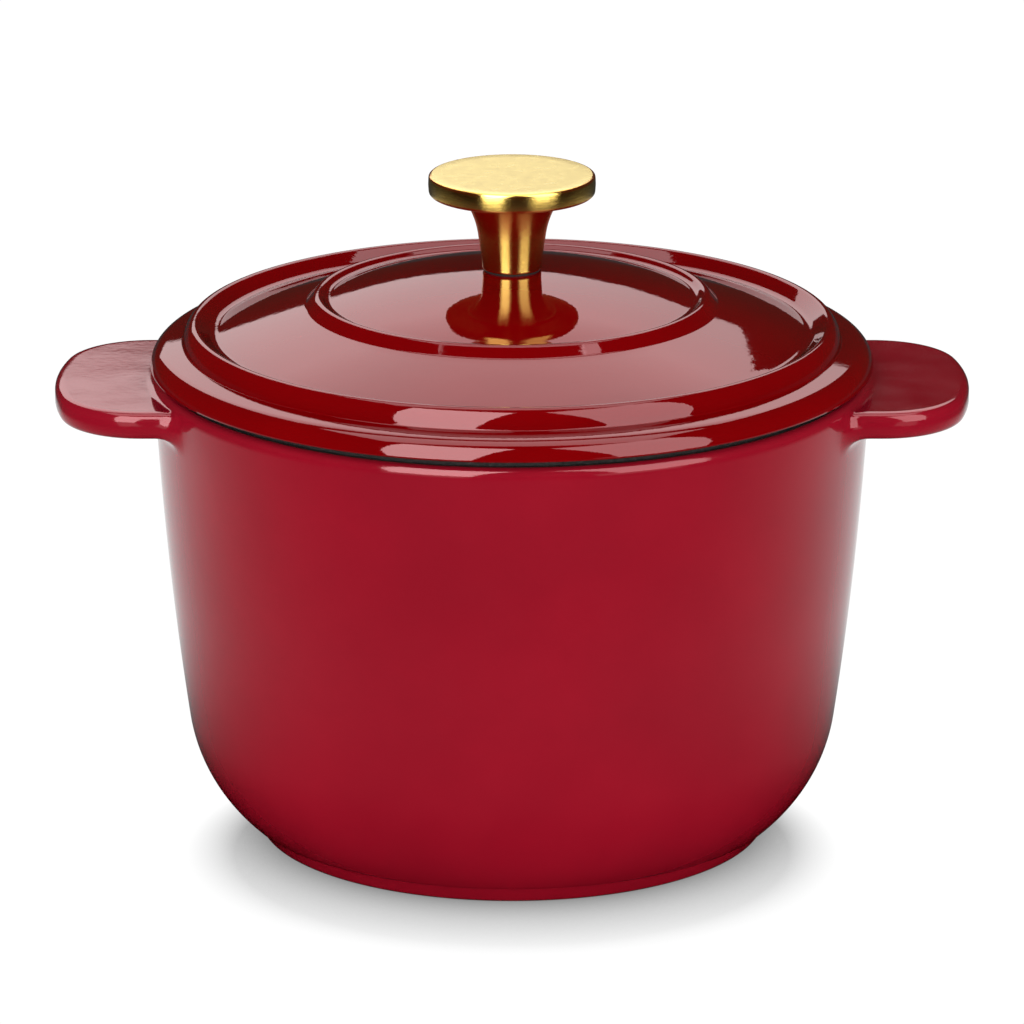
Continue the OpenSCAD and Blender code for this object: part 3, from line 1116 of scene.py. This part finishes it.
def floor_white():
    """White, with one glow for the camera, which holds the painted shadow, and another for reflections,
    which holds the painted window patches.
    """
    paint = Paint("floor_white")
    tone = paint.noise(3.0, 2.0)
    paint.link(paint.ramp(tone, [(0.3, (0.86, 0.86, 0.86)), (0.7, (0.88, 0.88, 0.88))]), "Base Color")
    paint.set(Roughness=0.6, Specular_IOR_Level=0.1)
    split = paint.nodes.new("ShaderNodeSeparateXYZ")
    paint.links.new(paint.place, split.inputs[0])
    x, y, _ = split.outputs
    shine = paint.nodes.new("ShaderNodeEmission")
    paint.links.new(floor_glow(paint, x, y), shine.inputs["Strength"])
    seen = paint.nodes.new("ShaderNodeEmission")
    paint.links.new(floor_seen(paint, x, y), seen.inputs["Strength"])
    rays = paint.nodes.new("ShaderNodeLightPath").outputs
    shader = paint.shader.outputs[0]
    both = mixed(paint.nodes, paint.links, rays["Is Glossy Ray"], shader, shine.outputs[0])
    both = mixed(paint.nodes, paint.links, rays["Is Camera Ray"], both, seen.outputs[0])
    paint.links.new(both, paint.nodes["Material Output"].inputs["Surface"])
    return paint.material


def panel_white():
    """The glow of the panel behind the pot, softer along its lower edge."""
    material = bpy.data.materials.new("panel_white")
    material.use_nodes = True
    nodes = material.node_tree.nodes
    links = material.node_tree.links
    nodes.clear()
    split = nodes.new("ShaderNodeSeparateXYZ")
    links.new(nodes.new("ShaderNodeUVMap").outputs[0], split.inputs[0])
    edge = in_range(nodes, links, split.outputs["Y"], -0.004, 0.012, 0.0, 1.0, "SMOOTHSTEP")
    rise = in_range(nodes, links, split.outputs["Y"], 0.0, 0.4, 0.55 * PANEL_LIGHT, PANEL_LIGHT)
    product = nodes.new("ShaderNodeMath")
    product.operation = "MULTIPLY"
    links.new(edge, product.inputs[0])
    links.new(rise, product.inputs[1])
    shine = nodes.new("ShaderNodeEmission")
    shine.inputs["Color"].default_value = PANEL_TINT
    links.new(product.outputs[0], shine.inputs["Strength"])
    output = nodes.new("ShaderNodeOutputMaterial")
    links.new(shine.outputs[0], output.inputs["Surface"])
    return material


# ---- pieces ----

# Lit and shaded copies of the one red enamel: painted light and sheen on the pot, painted shade on the
# lid.
RED_POT_LIT_SHEEN = red_enamel("pot_red_lit_sheen", POT_RED_LIT_SHEEN, 0.06, 0.10)
RED_LID_SHADED = red_enamel("lid_red_shaded", LID_RED_SHADED, 0.025, 0.045)
CREAM = cream_enamel()
IRON = bare_iron()
GROUND = ground_edge()
GOLD = gold_steel()
GOLD_TOP_PAINTED_LIGHT = gold_top_painted_light()
STEEL = plain_steel()
RUBBER = black_silicone()


def mark_faces(piece, index, test):
    """Gives a second material to the faces whose middle passes a test of radius and height."""
    for polygon in piece.data.polygons:
        centre = polygon.center / MM
        if test(math.hypot(centre.x, centre.y), centre.z):
            polygon.material_index = index


def make_pot():
    points, faces = build_pot_enamel()
    coat = make_object("pot_red_coat", points, faces, RED_POT_LIT_SHEEN)
    place(coat, "pot", "red_enamel", "pot_outer_enamel")
    points, faces = build_pot_iron()
    iron = make_object("pot_iron_body", points, faces, IRON)
    place(iron, "pot", "bare_iron", "pot_casting")
    cream = revolve_from_axis("pot_cream_coat", build_pot_cream(), CREAM, 256)
    place(cream, "pot", "cream_enamel", "pot_inner_enamel")


def make_lid():
    red = revolve("lid_red_coat", build_lid_red(), RED_LID_SHADED)
    place(red, "lid", "red_enamel", "lid_outer_enamel")
    iron = revolve("lid_iron_body", build_lid_iron(), [IRON, GROUND])
    mark_faces(iron, 1, lambda r, z: r > LID_R - 1.2 and z < LIP_Z + 0.7)
    place(iron, "lid", "bare_iron", "lid_casting")
    cream = revolve("lid_cream_coat", build_lid_cream(), CREAM, 256)
    place(cream, "lid", "cream_enamel", "lid_inner_enamel")


def make_knob():
    knob = revolve_from_axis("knob_gold", build_knob(), [GOLD, GOLD_TOP_PAINTED_LIGHT], 256)
    # The top face takes the paler gold of the painted highlight.
    mark_faces(knob, 1, lambda r, z: r < KNOB_R - 1.0 and z > KNOB_TOP - 0.4)
    place(knob, "lid", "gold_steel", "knob")


def dress_small_parts():
    """Finishes for the fixing's own CAD solids, which keep their shape."""
    for node, material in (
        ("knob_gasket", RUBBER),
        ("knob_screw", STEEL),
        ("flat_washer", STEEL),
        ("lock_washer", STEEL),
    ):
        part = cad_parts[node]
        part.data.materials.clear()
        part.data.materials.append(material)


# ---- floor, light and camera ----


def make_floor():
    half = 6.0
    cells = 12
    steps = np.linspace(-half, half, cells + 1)
    points = [(x / MM, y / MM, -0.02) for y in steps for x in steps]
    floor = make_object("floor", points, grid_faces(cells), floor_white())


def soft_panel(name, position, aim, width, height, radiance):
    """A pale panel that shows in the gloss only; radiance is what it looks like head on."""
    data = bpy.data.lights.new(name, "AREA")
    data.shape = "RECTANGLE"
    data.size = width
    data.size_y = height
    data.energy = radiance * math.pi * width * height
    panel = bpy.data.objects.new(name, data)
    bpy.context.scene.collection.objects.link(panel)
    panel.location = position
    panel.rotation_euler = (Vector(aim) - Vector(position)).to_track_quat("-Z", "Y").to_euler()
    panel.visible_camera = False
    panel.visible_diffuse = False
    return panel


def round_the_pot(azimuth, distance, height):
    """A place around the pot; azimuth 0 is in front of it and 90 on its right."""
    a = math.radians(azimuth)
    return (distance * math.sin(a), -distance * math.cos(a), height)


PANEL_LIGHT = 3.2
PANEL_TINT = (1.0, 0.8, 0.8, 1)
PANEL_DISTANCE = 2.2
PANEL_CORNERS = ((-0.95, 0.49), (0.57, 0.98), (1.56, 3.6), (-1.6, 3.6))


def make_back_panel():
    """A large white panel behind and above the pot; its lower edge slants up to the right."""
    cells = 8
    points = []
    for j in range(cells + 1):
        for i in range(cells + 1):
            u, v = i / cells, j / cells
            low = [(1 - u) * a + u * b for a, b in zip(PANEL_CORNERS[0], PANEL_CORNERS[1])]
            high = [(1 - u) * a + u * b for a, b in zip(PANEL_CORNERS[3], PANEL_CORNERS[2])]
            x, z = [(1 - v) * a + v * b for a, b in zip(low, high)]
            points.append((x / MM, PANEL_DISTANCE / MM, z / MM))
    panel = make_object("back_panel", points, grid_faces(cells), panel_white())
    layer = panel.data.uv_layers.new(name="UVMap")
    for polygon in panel.data.polygons:
        for loop, vertex in zip(polygon.loop_indices, polygon.vertices):
            layer.data[loop].uv = ((vertex % (cells + 1)) / cells, (vertex // (cells + 1)) / cells)
    panel.visible_camera = False
    panel.visible_diffuse = False
    panel.visible_shadow = False


WINDOW_DISTANCE = 1.5
WINDOW_MIDDLE = 0.95
WINDOW_H = 2.3


def make_lights():
    """Two tall windows in front, a panel overhead and the glowing panel behind."""
    aim = (0, 0, 0.10)
    for name, azimuth, width, radiance in (
        ("window_left", -25, 0.92, 9.0),
        ("window_right", 46.5, 1.06, 5.0),
    ):
        spot = round_the_pot(azimuth, WINDOW_DISTANCE, WINDOW_MIDDLE)
        soft_panel(name, spot, aim, width, WINDOW_H, radiance)
    soft_panel("overhead", (0, 0.1, 2.0), aim, 1.9, 1.1, 3.2)
    make_back_panel()


# What a reflection sees where there is no window or panel, and the dome's strengths
ROOM_DARK = (0.085, 0.022, 0.016, 1)
HORIZON_LIGHT = 1.6
ZENITH_LIGHT = 0.8
FRONT_BIAS = 0.55


def make_world():
    """White to the camera, a dome brighter near the horizon for diffuse light, dark in reflections."""
    world = bpy.data.worlds.new("studio")
    bpy.context.scene.world = world
    world.use_nodes = True
    nodes = world.node_tree.nodes
    links = world.node_tree.links
    nodes.clear()
    output = nodes.new("ShaderNodeOutputWorld")
    rays = nodes.new("ShaderNodeLightPath").outputs
    cove = plain_sky(nodes, ROOM_DARK)
    dome = plain_sky(nodes)
    split = nodes.new("ShaderNodeSeparateXYZ")
    links.new(nodes.new("ShaderNodeTexCoord").outputs["Generated"], split.inputs[0])
    fall = in_range(nodes, links, split.outputs["Z"], 0.0, 1.0, HORIZON_LIGHT, ZENITH_LIGHT)
    front = in_range(nodes, links, split.outputs["Y"], -1.0, 1.0, 1 + FRONT_BIAS, 1 - FRONT_BIAS)
    product = nodes.new("ShaderNodeMath")
    product.operation = "MULTIPLY"
    links.new(fall, product.inputs[0])
    links.new(front, product.inputs[1])
    links.new(product.outputs[0], dome.inputs["Strength"])
    seen = plain_sky(nodes)
    light = mixed(nodes, links, rays["Is Diffuse Ray"], cove.outputs[0], dome.outputs[0])
    light = mixed(nodes, links, rays["Is Camera Ray"], light, seen.outputs[0])
    links.new(light, output.inputs["Surface"])


CAMERA_PLACE = (0, -2.25, 0.7754)
CAMERA_AIM = (0, 0, 0.0956)
CAMERA_LENS = 278.9


def make_camera():
    data = bpy.data.cameras.new("camera")
    data.sensor_width = 36.0
    data.lens = CAMERA_LENS
    data.clip_end = 50
    camera = bpy.data.objects.new("camera", data)
    bpy.context.scene.collection.objects.link(camera)
    camera.location = CAMERA_PLACE
    aim = Vector(CAMERA_AIM)
    camera.rotation_euler = (aim - camera.location).to_track_quat("-Z", "Y").to_euler()
    bpy.context.scene.camera = camera


make_camera()
make_pot()
make_lid()
make_knob()
dress_small_parts()
make_floor()
make_lights()
make_world()
bpy.context.scene.view_settings.view_transform = "Standard"
